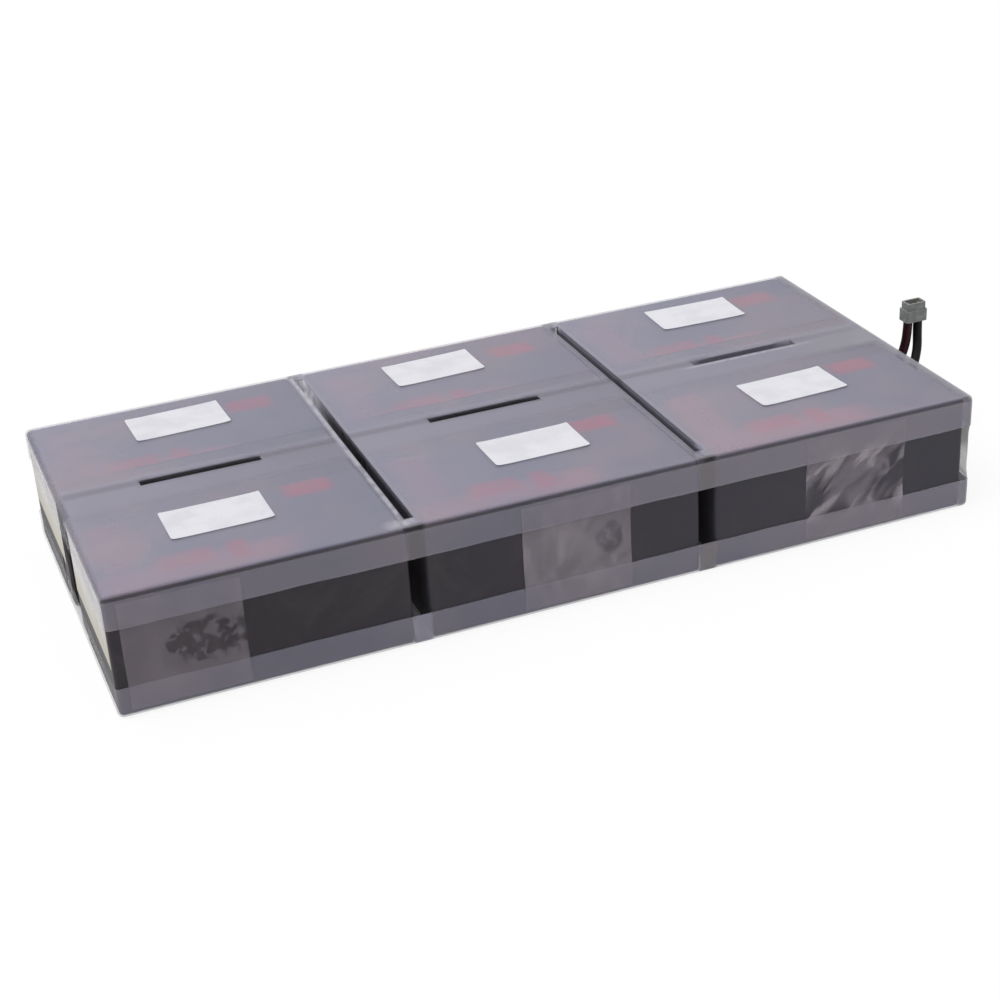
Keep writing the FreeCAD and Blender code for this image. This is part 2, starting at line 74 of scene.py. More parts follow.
class Strand:
    # one output of a node tree; sums and products of strands add Math nodes
    def __init__(self, tree, socket=None):
        self.tree, self.socket = tree, socket

    def node(self, kind, settings=None, sockets=None, out=0):
        made = self.tree.nodes.new(kind)
        for key, value in (settings or {}).items():
            setattr(made, key, value)
        for key, value in (sockets or {}).items():
            spots = [s for s in made.inputs if s.enabled]
            spot = spots[key] if isinstance(key, int) else next(s for s in spots if s.name == key)
            if isinstance(value, Strand):
                self.tree.links.new(value.socket, spot)
            else:
                spot.default_value = value
        ends = [s for s in made.outputs if s.enabled]
        if not ends:
            return None
        end = ends[out] if isinstance(out, int) else next(s for s in ends if s.name == out)
        return Strand(self.tree, end)

    def sum(self, operation, *values):
        return self.node("ShaderNodeMath", {"operation": operation}, dict(enumerate(values)))

    def __add__(self, other): return self.sum("ADD", self, other)
    def __radd__(self, other): return self.sum("ADD", other, self)
    def __sub__(self, other): return self.sum("SUBTRACT", self, other)
    def __rsub__(self, other): return self.sum("SUBTRACT", other, self)
    def __mul__(self, other): return self.sum("MULTIPLY", self, other)
    def __rmul__(self, other): return self.sum("MULTIPLY", other, self)
    def __truediv__(self, other): return self.sum("DIVIDE", self, other)
    def __rtruediv__(self, other): return self.sum("DIVIDE", other, self)
    def __pow__(self, other): return self.sum("POWER", self, other)
    def __rpow__(self, other): return self.sum("POWER", other, self)
    def __abs__(self): return self.sum("ABSOLUTE", self)

    def least(self, other): return self.sum("MINIMUM", self, other)
    def most(self, other): return self.sum("MAXIMUM", self, other)

    def ease(self, low, high, first=0.0, last=1.0):
        return self.node("ShaderNodeMapRange", {"interpolation_type": "SMOOTHSTEP"},
                         {"Value": self, "From Min": low, "From Max": high,
                          "To Min": first, "To Max": last})

    def fade(self, low, high):
        return self.ease(low, high, 1.0, 0.0)

    def band(self, middle, half, soft):
        return abs(self - middle).fade(half, half + soft)

    def blend(self, first, second):
        return self.node("ShaderNodeMix", {"data_type": "RGBA"}, {"Factor": self, "A": first, "B": second})

    def cloud(self, scale, detail=3.0, rough=0.5, warp=0.0, out="Fac"):
        return self.node("ShaderNodeTexNoise", {"noise_dimensions": "3D"},
                         {"Vector": self, "Scale": scale, "Detail": detail, "Roughness": rough,
                          "Distortion": warp}, out)

    def parts(self):
        return [self.node("ShaderNodeSeparateXYZ", None, {0: self}, k) for k in range(3)]


def rgb(red, green, blue):
    return (red, green, blue, 1.0)


def startFinish(name):
    finish = bpy.data.materials.new(name)
    finish.use_nodes = True
    finish.node_tree.nodes.clear()
    point = Strand(finish.node_tree).node("ShaderNodeTexCoord", None, None, "Object")
    return finish, point


def closeFinish(point, sockets, relief=None):
    if relief:  # (height, strength, distance)
        height, strength, distance = relief
        sockets["Normal"] = point.node("ShaderNodeBump", None, {"Height": height, "Strength": strength,
                                                               "Distance": distance})
    skin = point.node("ShaderNodeBsdfPrincipled", None, sockets, "BSDF")
    point.node("ShaderNodeOutputMaterial", None, {"Surface": skin})


def plain(mesh, name, finish):
    piece = bpy.data.objects.new(name, mesh)
    mesh.materials.clear()
    mesh.materials.append(finish)
    scene.collection.objects.link(piece)
    return piece


# the two leads at the right end, on the same points as the solids
wireLook = {"thick": 0.0055, "grain": 900.0, "smooth": 14, "round": 6, "order": 3,
            "red": rgb(0.022, 0.003, 0.006), "redDust": rgb(0.042, 0.009, 0.013),
            "black": rgb(0.003, 0.002, 0.003), "blackDust": rgb(0.008, 0.006, 0.007)}


def wireFinish(name, tone, dust):
    finish, p = startFinish(name)
    haze = p.cloud(70.0, 4.0)
    closeFinish(p, {"Base Color": haze.ease(0.45, 0.8).blend(tone, dust),
                    "Roughness": 0.42 + 0.18 * p.cloud(220.0, 3.0), "Specular IOR Level": 0.2},
                (p.cloud(wireLook["grain"], 2.0), 0.12, 0.0004))
    return finish


redWire = wireFinish("redWire", wireLook["red"], wireLook["redDust"])
blackWire = wireFinish("blackWire", wireLook["black"], wireLook["blackDust"])

leadRoutes = {
    "lead_red": {"finish": redWire, "slot": "wire_red", "length": 0.0681, "points": [
        (0.23122, 0.0076, 0.0233), (0.24272, 0.0076, 0.0233), (0.25403, 0.0080, 0.0276),
        (0.26312, 0.0087, 0.0360), (0.26832, 0.0089, 0.0473), (0.26895, 0.0080, 0.0601),
        (0.26895, 0.0080, 0.0675)]},
    "lead_black": {"finish": blackWire, "slot": "wire_black", "length": 0.0764, "points": [
        (0.23122, -0.0076, 0.0233), (0.24492, -0.0076, 0.0233), (0.25812, -0.0037, 0.0267),
        (0.26822, 0.0003, 0.0347), (0.27412, 0.0046, 0.0453), (0.27555, 0.0080, 0.0571),
        (0.27555, 0.0080, 0.0675)]},
}


def layLead(node, run):
    curve = bpy.data.curves.new(node + "_wire", "CURVE")
    curve.dimensions, curve.resolution_u = "3D", wireLook["smooth"]
    curve.bevel_depth, curve.bevel_resolution = wireLook["thick"] / 2, wireLook["round"]
    curve.use_fill_caps = True
    spline = curve.splines.new("NURBS")
    spline.points.add(len(run["points"]) - 1)
    for spot, place in zip(spline.points, run["points"]):
        spot.co = (*place, 1.0)
    spline.use_endpoint_u = True
    spline.order_u = wireLook["order"]
    curve.materials.append(run["finish"])
    piece = bpy.data.objects.new(node + "_wire", curve)
    scene.collection.objects.link(piece)
    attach(piece, "root")
    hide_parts(node)


for leadNode, leadRun in leadRoutes.items():
    layLead(leadNode, leadRun)
print("leads:", len(leadRoutes))


# see-through formed sheet of both trays
filmLook = {"haze": 0.325, "cool": rgb(0.44, 0.437, 0.55), "warm": rgb(0.50, 0.45, 0.53),
            "crinkle": rgb(0.56, 0.55, 0.62), "cloudTone": rgb(0.84, 0.83, 0.88),
            "hollowShadeTone": rgb(0.385, 0.372, 0.46), "rowShadeTone": rgb(0.29, 0.275, 0.345),
            "gapShadeTone": rgb(0.25, 0.23, 0.25), "endLightTone": rgb(0.62, 0.60, 0.64),
            "stripTone": rgb(0.335, 0.325, 0.38), "caseEnd": 0.23325, "rowLine": 0.0086,
            "shift": 0.00225, "pitch": 0.08, "gapHalf": 0.0045, "grooveHalf": 0.0025, "grooveEnd": 0.096,
            "slotHalf": 0.003, "slotEnd": 0.0325, "wall": 0.001, "reach": 0.23575, "depth": 0.103,
            "rightSide": (-0.02, 0.02), "backSide": (0.07, 0.1), "clouding": (0.036, 0.082),
            "slotFade": (0.05, 0.12), "channelSide": (0.0105, 0.0195), "mouthStart": (0.17, 0.222),
            "labelSide": (0.0125, 0.0145), "labelTop": (0.0035, 0.0055), "endChannel": (0.0115, 0.0135)}
filmSheets = {
    "topFilm": {"slotLine": 0.0069, "edgeHeight": 0.0666, "foldClear": 0.92, "hollowHaze": 0.2,
                "gapShade": 0.8, "pressClear": 1.0},
    "bottomFilm": {"slotLine": -0.0069, "edgeHeight": 0.0, "foldClear": 0.0, "hollowHaze": 0.36,
                   "gapShade": 0.0, "pressClear": 0.2},
}


def filmFinish(name, sheet):
    f, slotLine = filmLook, sheet["slotLine"]
    finish, p = startFinish(name)
    x, y, z = p.parts()
    column = x + f["shift"]
    deep, down = abs(y), abs(z - sheet["edgeHeight"])
    along = x.sum("WRAP", column, f["pitch"], -f["pitch"])
    gap = abs(abs(column) - f["pitch"])  # from the middle of a column gap
    face = deep - f["depth"]  # above 0 on the rims of the long sides
    rim = face.most(abs(x) - f["reach"])
    right, back = x.ease(*f["rightSide"]), y.ease(*f["backSide"])
    leftEnd = x.fade(-f["reach"] - 0.001, -f["reach"] + 0.001)
    leftEnd = leftEnd * face.fade(-0.001, 0.0005) * down.ease(0.0008, 0.003)  # past the fold only
    broad = p.cloud(9.0, 2.0)
    mid = p.cloud(30.0, 3.0, 0.5, 0.4)
    crease = p.cloud(95.0, 3.0, 0.55, 1.0)
    wall = f["wall"] * down.ease(0.0006, 0.0010)  # pressed walls are clear through their thickness
    grooveIn = (gap - f["grooveHalf"] - wall).most(deep - f["grooveEnd"] - wall)
    grooveIn = grooveIn.fade(-0.0003, 0.0003)
    slotIn = (abs(y - slotLine) - f["slotHalf"] - wall).most(abs(along) - f["slotEnd"] - wall)
    slotIn = slotIn.fade(-0.0003, 0.0003)
    leftOpen = y.fade(*f["clouding"])  # the left groove clouds over towards the back
    upperWall = gap.ease(0.0021, 0.0026) * down.fade(0.0016, 0.0042)
    grooveClear = (leftOpen + right * (0.8 - leftOpen)) * (1.0 - (0.5 + 0.4 * right) * upperWall)
    clear = sheet["pressClear"] * (grooveIn * grooveClear).most(slotIn * x.ease(*f["slotFade"], 0.95, 0.0))
    channel = deep.fade(*f["channelSide"]) * rim.fade(-0.002, 0.0)
    fold = face.ease(0.0003, 0.0012) * abs(down - 0.0012).fade(0.0009, 0.0016)
    fold = sheet["foldClear"] * fold * (1.0 - 0.7 * back)
    strip = x.ease(f["caseEnd"] - 0.001, f["caseEnd"] + 0.0006)  # over the empty room at the right end
    mouth = channel * x.ease(*f["mouthStart"])
    beside = (-f["pitch"] - f["grooveHalf"]) - column  # above 0 just left of the left groove
    # milky film and painted highlights: painted highlights on the shoulder beside the left groove and
    # along the rib below the right slot, milky film in the groove's back and at its front corner
    milkAndGlint = beside.ease(-0.0002, 0.0008) * beside.fade(0.0012, 0.004) * deep.fade(0.098, 0.101)
    milkAndGlint = milkAndGlint.most(grooveIn * (1.0 - leftOpen) * (1.0 - right))
    milkAndGlint = milkAndGlint.most(abs(beside - 0.004).fade(0.004, 0.010) * abs(y + 0.099).fade(0.002, 0.006))
    milkAndGlint = milkAndGlint.most(0.7 * abs(slotLine - 0.0048 - y).fade(0.0004, 0.0018) * x.ease(0.09, 0.13)
                     * abs(along).fade(0.03, 0.045))
    milkAndGlint = milkAndGlint * crease.ease(0.3, 0.6, 0.3, 1.0) * face.fade(0.0, 0.001)
    beyond = gap.fade(f["gapHalf"] - 0.0012, f["gapHalf"] + 0.0012)
    # painted shade of the gaps between the cases: the rims over the column gaps get a dark tint and more
    # cover
    gapRim = beyond * face.ease(-0.002, 0.0005)
    # painted shade in the recesses: the film over the row channel and the column gaps gets a darker tint
    hollow = channel.most(beyond)
    # a painted shade line along the middle of the row channel
    rowLine = abs(y - f["rowLine"]).fade(0.0012, 0.0052) * channel
    flat = rim.fade(-0.001, 0.001)
    overLabel = deep.ease(*f["labelSide"]) * down.ease(*f["labelTop"])
    inChannel = deep.fade(*f["endChannel"])
    cover = (f["haze"] + 0.13 * (broad - 0.5) + 0.1 * (mid - 0.5) + 0.27 * milkAndGlint
             + sheet["hollowHaze"] * hollow
             + flat * (0.3 * y - 1.1 * along - 0.09 * x) + (1.0 - flat) * (0.17 * x - 0.03)
             + 0.2 * mouth + 0.2 * gapRim * right.most(back) + 0.31 * strip * (1.0 - channel))
    cover = cover * (1.0 - clear) * (1.0 - fold) + leftEnd * (0.2 - 0.35 * overLabel - 0.34 * inChannel)
    tint = (0.6 * broad + 0.4 * mid).ease(0.4, 0.62).blend(f["cool"], f["warm"])
    # painted shade tint over the channel and the column gaps
    tint = strip.most(mouth).blend(hollow.blend(tint, f["hollowShadeTone"]), f["stripTone"])
    # painted shade: the dark line along the row channel and the dark rims over the column gaps
    tint = (gapRim * right.most(sheet["gapShade"])).blend(rowLine.blend(tint, f["rowShadeTone"]), f["gapShadeTone"])
    # painted light: the film on the left end is tinted paler, where the key light falls from the left
    tint = leftEnd.blend(tint, f["endLightTone"])
    # pale tone for the milky film and for its painted highlights
    white = (grooveIn * (1.0 - leftOpen)).blend(f["crinkle"], f["cloudTone"])
    closeFinish(p, {"Base Color": milkAndGlint.blend(tint, white), "Roughness": 0.3 + 0.16 * mid,
                    "Alpha": cover.most(0.02).least(0.85), "IOR": 1.5},
                (0.35 * crease + 0.65 * mid, 0.16, 0.0012))
    return finish


topFilm, bottomFilm = (filmFinish(name, sheet) for name, sheet in filmSheets.items())

traySheet = {"step": 0.0075, "rimStep": 0.004, "lift": 0.00005, "swell": 0.0002, "edgeWave": 0.0004,
             "tapeDraw": 0.00012, "foldDeep": 0.0036, "edgeDeep": 0.006, "sideY": 0.1045, "endX": 0.2372,
             "inner": (0.0002, 0.0012), "innerDrop": 0.00006, "sharp": 40,
             "swellScale": 17, "swellSeed": 3.1, "waveScale": 45, "waveSeeds": (1.3, 7.7)}


def filmRise(x, y):
    t = traySheet
    swell = noise.noise((x * t["swellScale"], y * t["swellScale"], t["swellSeed"]))
    return t["lift"] + t["swell"] * (0.5 + 0.5 * swell)


def formSheet(node, name, finish, upward):
    t = traySheet
    mesh = nodes[node].data.copy()
    low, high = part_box(node)
    bm = bmesh.new()
    bm.from_mesh(mesh)
    bmesh.ops.remove_doubles(bm, verts=bm.verts, dist=1e-6)
    for axis, step in ((0, t["step"]), (1, t["step"]), (2, t["rimStep"])):
        count = int((high[axis] - low[axis]) / step)
        for k in range(1, count):
            spot, way = Vector((0, 0, 0)), Vector((0, 0, 0))
            spot[axis], way[axis] = low[axis] + k * (high[axis] - low[axis]) / count, 1.0
            bmesh.ops.bisect_plane(bm, geom=bm.verts[:] + bm.edges[:] + bm.faces[:], dist=1e-7,
                                   plane_co=spot, plane_no=way)
    flat, free = (high.z, low.z) if upward else (low.z, high.z)
    for vert in bm.verts:
        x, y, z = vert.co
        near = max(0.0, 1.0 - abs(z - flat) / t["foldDeep"])  # 1 on the flat, 0 below the fold
        if upward:
            vert.co.z += near * filmRise(x, y)
        elif t["inner"][0] < z < t["inner"][1]:
            vert.co.z -= t["innerDrop"]  # the inner face stays off the cases
        edge = max(0.0, 1.0 - abs(z - free) / t["edgeDeep"])
        if abs(y) > t["sideY"] or abs(x) > t["endX"]:
            wave = noise.noise((x * t["waveScale"], y * t["waveScale"], t["waveSeeds"][upward]))
            vert.co.z += edge * t["edgeWave"] * wave
            vert.co.y -= math.copysign(t["tapeDraw"], y) * (1.0 - near) * (abs(y) > t["sideY"])
            vert.co.x -= t["tapeDraw"] * (1.0 - near) * (x > t["endX"])
    bm.to_mesh(mesh)
    bm.free()
    mesh.shade_smooth()
    mesh.set_sharp_from_angle(angle=math.radians(t["sharp"]))
    piece = plain(mesh, name, finish)
    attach(piece, "root")
    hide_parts(node)
    return piece


for sheetNode, sheetName, sheetFinish, sheetUp in (("top_tray", "topTrayFilm", topFilm, True),
                                                   ("bottom_tray", "bottomTrayFilm", bottomFilm, False)):
    sheetPiece = formSheet(sheetNode, sheetName, sheetFinish, sheetUp)
    print("tray sheet:", sheetName, len(sheetPiece.data.polygons), "faces")


# node trees for the repeated sheets: tape patches and stickers
weldGap = 0.000002


def startTree(name, inputs):
    tree = bpy.data.node_groups.new(name, "GeometryNodeTree")
    tree.interface.new_socket("Geometry", in_out="OUTPUT", socket_type="NodeSocketGeometry")
    for label, kind, value in inputs:
        socket = tree.interface.new_socket(label, in_out="INPUT", socket_type="NodeSocket" + kind)
        if value is not None:
            socket.default_value = value
    entry = tree.nodes.new("NodeGroupInput")
    return {s.name: Strand(tree, s) for s in entry.outputs if s.name}


def closeTree(g, shape):
    # both skins of the sheet, turned and set in place
    w = g["Width"]
    turned = w.node("GeometryNodeTransform", None, {"Geometry": shape, "Translation": g["Place"],
                                                    "Rotation": g["Turn"]})
    back = w.node("GeometryNodeExtrudeMesh", {"mode": "FACES"},
                  {"Mesh": w.node("GeometryNodeFlipFaces", None, {"Mesh": turned}),
                   "Offset Scale": g["Thickness"], "Individual": False}, "Mesh")
    both = w.tree.nodes.new("GeometryNodeJoinGeometry")
    for side in (turned, back):
        w.tree.links.new(side.socket, both.inputs[0])
    whole = w.node("GeometryNodeMergeByDistance", None, {"Geometry": Strand(w.tree, both.outputs[0]),
                                                         "Distance": weldGap})
    solid = w.node("GeometryNodeRealizeInstances", None, {"Geometry": whole})
    coated = w.node("GeometryNodeSetMaterial", None, {"Geometry": solid, "Material": g["Finish"]})
    w.node("NodeGroupOutput", None, {"Geometry": coated})
    return w.tree


def applyTree(tree, name, values):
    holder = bpy.data.objects.new(name, bpy.data.meshes.new(name + "Holder"))
    scene.collection.objects.link(holder)
    modifier = holder.modifiers.new("tree", "NODES")
    modifier.node_group = tree
    for item in tree.interface.items_tree:
        if item.in_out == "INPUT" and item.name in values:
            modifier[item.identifier] = values[item.name]
    held = bpy.context.evaluated_depsgraph_get()
    mesh = bpy.data.meshes.new_from_object(holder.evaluated_get(held))
    mesh.name = name
    bpy.data.objects.remove(holder)
    return mesh


tapePatch = {"step": 0.0011, "sink": 0.00055, "crinkle": 0.00028, "film": 0.00003, "proud": 0.00013,
             "cell": 105.0, "bareLow": 0.0165, "bareHigh": 0.0491}


def tapeTree():
    g = startTree("crinkledTape", [
        ("Width", "Float", 0.06), ("Height", "Float", 0.0586), ("Across", "Int", 55), ("Up", "Int", 54),
        ("Low", "Float", -0.017), ("High", "Float", 0.016), ("Sink", "Float", 0.0005),
        ("Crinkle", "Float", 0.0003), ("Cell", "Float", 100.0), ("Seed", "Float", 0.0),
        ("Thickness", "Float", 0.00003), ("Place", "Vector", None), ("Turn", "Vector", None),
        ("Finish", "Material", None)])
    w = g["Width"]
    sheet = w.node("GeometryNodeMeshGrid", None, {
        "Size X": w, "Size Y": g["Height"], "Vertices X": g["Across"], "Vertices Y": g["Up"]}, "Mesh")
    x, y, _ = w.node("GeometryNodeInputPosition").parts()
    drawn = (y - g["Low"]).least(g["High"] - y).ease(0.0, 0.006)  # 1 between the rims, 0 over them
    shifted = w.node("ShaderNodeCombineXYZ", None, {"X": x + 0.35 * y, "Y": y * 0.8, "Z": g["Seed"]})
    bent = w.node("ShaderNodeTexNoise", {"noise_dimensions": "3D"},
                  {"Vector": shifted, "Scale": 60.0, "Detail": 2.0}, "Color")
    mixed = w.node("ShaderNodeVectorMath", {"operation": "MULTIPLY_ADD"},
                   {0: bent, 1: (0.012, 0.012, 0.0), 2: shifted}, "Vector")
    facets, fine = (w.node("ShaderNodeTexVoronoi", {"voronoi_dimensions": "3D", "feature": "F1"},
                           {"Vector": mixed, "Scale": cell}, "Distance")
                    for cell in (g["Cell"], g["Cell"] * 2.3))
    folds = (0.7 * facets + 0.3 * fine).least(1.0)
    depth = g["Sink"] * drawn + g["Crinkle"] * folds * (0.28 + 0.9 * drawn)
    moved = w.node("GeometryNodeSetPosition", None, {
        "Geometry": sheet, "Offset": w.node("ShaderNodeCombineXYZ", None, {"Z": depth * -1.0})})
    marked = w.node("GeometryNodeStoreNamedAttribute", {"data_type": "FLOAT", "domain": "POINT"},
                    {"Geometry": moved, "Name": "folds", "Value": folds})
    return closeTree(g, marked)


tapeLook = {"leftEnds": (-0.11, -0.09), "rightStarts": (0.08, 0.1), "bareMiddle": 0.0328,
            "base": rgb(0.53, 0.465, 0.54), "white": rgb(0.71, 0.65, 0.71),
            "shaded": rgb(0.36, 0.33, 0.375), "endStarts": (0.230, 0.236),
            "pressedLeft": (-0.1885, 0.0335, 0.0265, 0.0145),
            "pressedMiddle": (0.0215, 0.0350, 0.0085, 0.0105)}


def tapeFinish():
    k = tapeLook
    finish, p = startFinish("clearTape")
    folds = p.node("ShaderNodeAttribute", {"attribute_name": "folds"}, None, "Fac")
    x, y, z = p.parts()
    side = x + y  # runs along the long faces and round the end
    slant = p.node("ShaderNodeCombineXYZ", None, {"X": 0.26 * (side + z), "Y": y * 0.2,
                                                  "Z": 0.75 * (z - side)})
    streak = slant.cloud(105.0, 2.0, 0.5, 0.5)
    blotch = slant.cloud(78.0, 1.0, 0.4, 0.3)
    ragged = p.cloud(120.0, 2.0, 0.5, 0.4)
    spots = p.cloud(190.0, 1.0, 0.5, 0.8)
    tall = p.node("ShaderNodeMapping", None, {"Vector": p, "Scale": (1.0, 1.0, 0.35)})
    upright = tall.cloud(95.0, 2.0, 0.5, 0.3)
    left, right = x.fade(*k["leftEnds"]), x.ease(*k["rightStarts"])
    offMiddle = abs(z - k["bareMiddle"])
    band = offMiddle.fade(0.0145, 0.0185)  # between the rims
    low = offMiddle.ease(0.014, 0.024, 1.0, 0.25)
    middle = 1.0 - left - right
    # pale streaks: the tape's crinkle whitening together with painted highlights along the crinkles
    milkAndGlint = right * streak.ease(0.46, 0.66) * low + (0.4 * middle + 0.15 * left) * upright.ease(0.42, 0.7)
    # blotches where the tape lets more of the dark case show through
    clearBlotch = band * blotch.fade(0.38, 0.62) * (0.3 * middle + right)

    def pressedClear(aside, up, wide, high):  # a ragged patch where the tape lies flat on the case
        reach = ((x - aside) / wide) ** 2.0 + ((z - up) / high) ** 2.0
        return (reach + 2.2 * (ragged - 0.5)).fade(0.45, 0.95) * spots.ease(0.5, 0.64, 1.0, 0.3)

    pressed = pressedClear(*k["pressedLeft"]).most(0.8 * pressedClear(*k["pressedMiddle"]))
    end = x.ease(*k["endStarts"])
    cover = (0.10 + band * (0.04 + 0.105 * middle + 0.06 * right + 0.4 * end) + 0.2 * milkAndGlint - 0.22 * clearBlotch
             - 0.13 * band * pressed * (1.0 - right) + 0.03 * folds)
    # the pale tone marks the crinkle whitening and the painted highlights
    tone = milkAndGlint.blend(k["base"], k["white"])
    closeFinish(p, {"Base Color": (0.75 * end).blend(tone, k["shaded"]),
                    "Roughness": 0.34 + 0.2 * blotch, "Alpha": cover.most(0.02).least(0.6), "IOR": 1.48},
                (0.5 * streak + 0.5 * upright, 0.22, 0.0010))
    return finish


clearTape = tapeFinish()
tapeShape = tapeTree()
tapeNodes = sorted(n for n in nodes if n.startswith("tape_"))
t = tapePatch
for tapeNode in tapeNodes:
    low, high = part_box(tapeNode)
    middle = (low + high) / 2
    wide = max(high.x - low.x, high.y - low.y)
    if high.x - low.x < high.y - low.y:  # across the right end
        turn, place = math.pi / 2, (low.x + t["proud"], middle.y, middle.z)
    elif low.y < 0:
        turn, place = 0.0, (middle.x, high.y - t["proud"], middle.z)
    else:
        turn, place = math.pi, (middle.x, low.y + t["proud"], middle.z)
    mesh = applyTree(tapeShape, tapeNode + "_film", {
        "Width": wide, "Height": high.z - low.z, "Across": int(wide / t["step"]),
        "Up": int((high.z - low.z) / t["step"]),
        "Low": t["bareLow"] - middle.z, "High": t["bareHigh"] - middle.z,
        "Sink": t["sink"], "Crinkle": t["crinkle"], "Cell": t["cell"],
        "Seed": 0.31 * (middle.x + 1.0) - 3.3 * middle.y, "Thickness": t["film"], "Place": place,
        "Turn": (math.pi / 2, 0.0, turn), "Finish": clearTape})
    mesh.shade_smooth()
    tape = plain(mesh, tapeNode + "_film", clearTape)
    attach(tape, "root")
    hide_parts(tapeNode)
print("tape patches:", len(tapeNodes))


stickerPaper = {"corner": 0.0012, "step": 0.0011, "film": 0.00009, "curl": 0.0004, "clear": 0.00004,
                "sharp": 50, "white": rgb(0.75, 0.75, 0.795), "grey": rgb(0.68, 0.68, 0.725)}
stickerTurns = {"front_left": 0.3, "front_middle": 0.4, "front_right": 2.0,
                "back_left": 1.8, "back_middle": 1.9, "back_right": -1.5}


def stickerTree():
    g = startTree("paperSticker", [
        ("Width", "Float", 0.053), ("Depth", "Float", 0.031), ("Corner", "Float", 0.001),
        ("Across", "Int", 49), ("Along", "Int", 29), ("Curl", "Float", 0.0004),
        ("Thickness", "Float", 0.0001), ("Place", "Vector", None), ("Turn", "Vector", None),
        ("Finish", "Material", None)])
    w = g["Width"]
    sheet = w.node("GeometryNodeMeshGrid", None, {
        "Size X": w, "Size Y": g["Depth"], "Vertices X": g["Across"], "Vertices Y": g["Along"]}, "Mesh")
    x, y, _ = w.node("GeometryNodeInputPosition").parts()
    overX = (abs(x) - (w * 0.5 - g["Corner"])).most(0.0)
    overY = (abs(y) - (g["Depth"] * 0.5 - g["Corner"])).most(0.0)
    reach = (overX * overX + overY * overY) ** 0.5
    pull = (g["Corner"] / reach.most(0.00001)).least(1.0)  # corners drawn in to their rounding
    newX = x - x.sum("SIGN", x) * overX * (1.0 - pull)
    newY = y - y.sum("SIGN", y) * overY * (1.0 - pull)
    lift = g["Curl"] * ((abs(x) / w * 2.0) ** 8.0) * ((abs(y) / g["Depth"] * 2.0) ** 6.0)
    drawnIn = w.node("ShaderNodeCombineXYZ", None, {"X": newX, "Y": newY, "Z": lift})
    moved = w.node("GeometryNodeSetPosition", None, {"Geometry": sheet, "Position": drawnIn})
    return closeTree(g, moved)


def paperFinish():
    finish, p = startFinish("stickerPaper")
    soft = p.cloud(60.0, 3.0)
    fibre = p.cloud(700.0, 4.0, 0.65)
    tone = (0.7 * soft + 0.3 * fibre).ease(0.42, 0.62).blend(stickerPaper["white"], stickerPaper["grey"])
    closeFinish(p, {"Base Color": tone, "Roughness": 0.42 + 0.14 * soft, "Specular IOR Level": 0.4},
                (fibre, 0.12, 0.0003))
    return finish


whitePaper = paperFinish()
stickerShape = stickerTree()
s = stickerPaper
for place, angle in stickerTurns.items():
    low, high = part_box("sticker_" + place)
    mesh = applyTree(stickerShape, "sticker_" + place + "_paper", {
        "Width": high.x - low.x, "Depth": high.y - low.y, "Corner": s["corner"],
        "Across": int((high.x - low.x) / s["step"]), "Along": int((high.y - low.y) / s["step"]),
        "Curl": s["curl"], "Thickness": s["film"],
        "Place": ((low.x + high.x) / 2, (low.y + high.y) / 2, low.z + s["film"] + s["clear"]),
        "Turn": (0.0, 0.0, math.radians(angle)), "Finish": whitePaper})
    for vert in mesh.vertices:
        vert.co.z += filmRise(vert.co.x, vert.co.y)
    mesh.shade_smooth()
    mesh.set_sharp_from_angle(angle=math.radians(s["sharp"]))
    sticker = plain(mesh, "sticker_" + place + "_paper", whitePaper)
    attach(sticker, "root")
    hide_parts("sticker_" + place)
print("stickers:", len(stickerTurns))


# moulded battery plastic, with plain printed fields on the upper faces
printLook = {"shift": 0.00225, "pitch": 0.08, "row": 0.058, "top": 0.0652,
             "ground": rgb(0.16, 0.145, 0.20), "cool": rgb(0.12, 0.14, 0.20),
             "red": rgb(0.50, 0.06, 0.10), "pink": rgb(0.42, 0.16, 0.22),
             "bareLeft": rgb(0.027, 0.0215, 0.0285), "bareRight": rgb(0.048, 0.045, 0.058),
             "worn": rgb(0.06, 0.055, 0.06)}
# each field: strength, then middle, half size and softness along and across
printFields = {
    "red": [(1.0, (-0.030, 0.009, 0.009), (-0.025, 0.004, 0.007)),
            (1.0, (-0.004, 0.002, 0.006), (-0.027, 0.006, 0.007)),
            (1.0, (0.045, 0.008, 0.009), (0.021, 0.004, 0.007))],
    "pink": [(1.0, (-0.026, 0.038, 0.022), (-0.034, 0.005, 0.009)),
             (0.8, (-0.060, 0.004, 0.012), (0.004, 0.022, 0.014))],
}


def printShape(along, across, fields):
    shapes = [strength * along.band(*wide) * across.band(*deep) for strength, wide, deep in fields]
    whole = shapes[0]
    for shape in shapes[1:]:
        whole = whole.most(shape)
    return whole


def caseFinish():
    k = printLook
    finish, p = startFinish("casePlastic")
    x, y, z = p.parts()
    along = x.sum("WRAP", x + k["shift"], k["pitch"], -k["pitch"])
    across = y - k["row"] * y.sum("SIGN", y)
    wear = p.cloud(34.0, 4.0, 0.6, 0.5)
    grain = p.cloud(1400.0, 2.0)
    shade = p.cloud(22.0, 2.0)
    upper = z.ease(k["top"], k["top"] + 0.0004)
    ground = shade.ease(0.35, 0.65).blend(k["ground"], k["cool"])
    red = printShape(along, across, printFields["red"])
    pink = printShape(along, across, printFields["pink"])
    printed = (red * (0.35 + 0.9 * wear)).blend((pink * (0.3 + wear)).blend(ground, k["pink"]), k["red"])
    lower = x.ease(-0.2, 0.2).blend(k["bareLeft"], k["bareRight"])
    bare = (0.5 * wear.ease(0.4, 0.7)).blend(lower, k["worn"])
    closeFinish(p, {"Base Color": upper.blend(bare, printed), "Roughness": 0.44 + 0.16 * wear,
                    "Specular IOR Level": 0.28}, (0.5 * grain + 0.5 * wear, 0.05, 0.0003))
    return finish


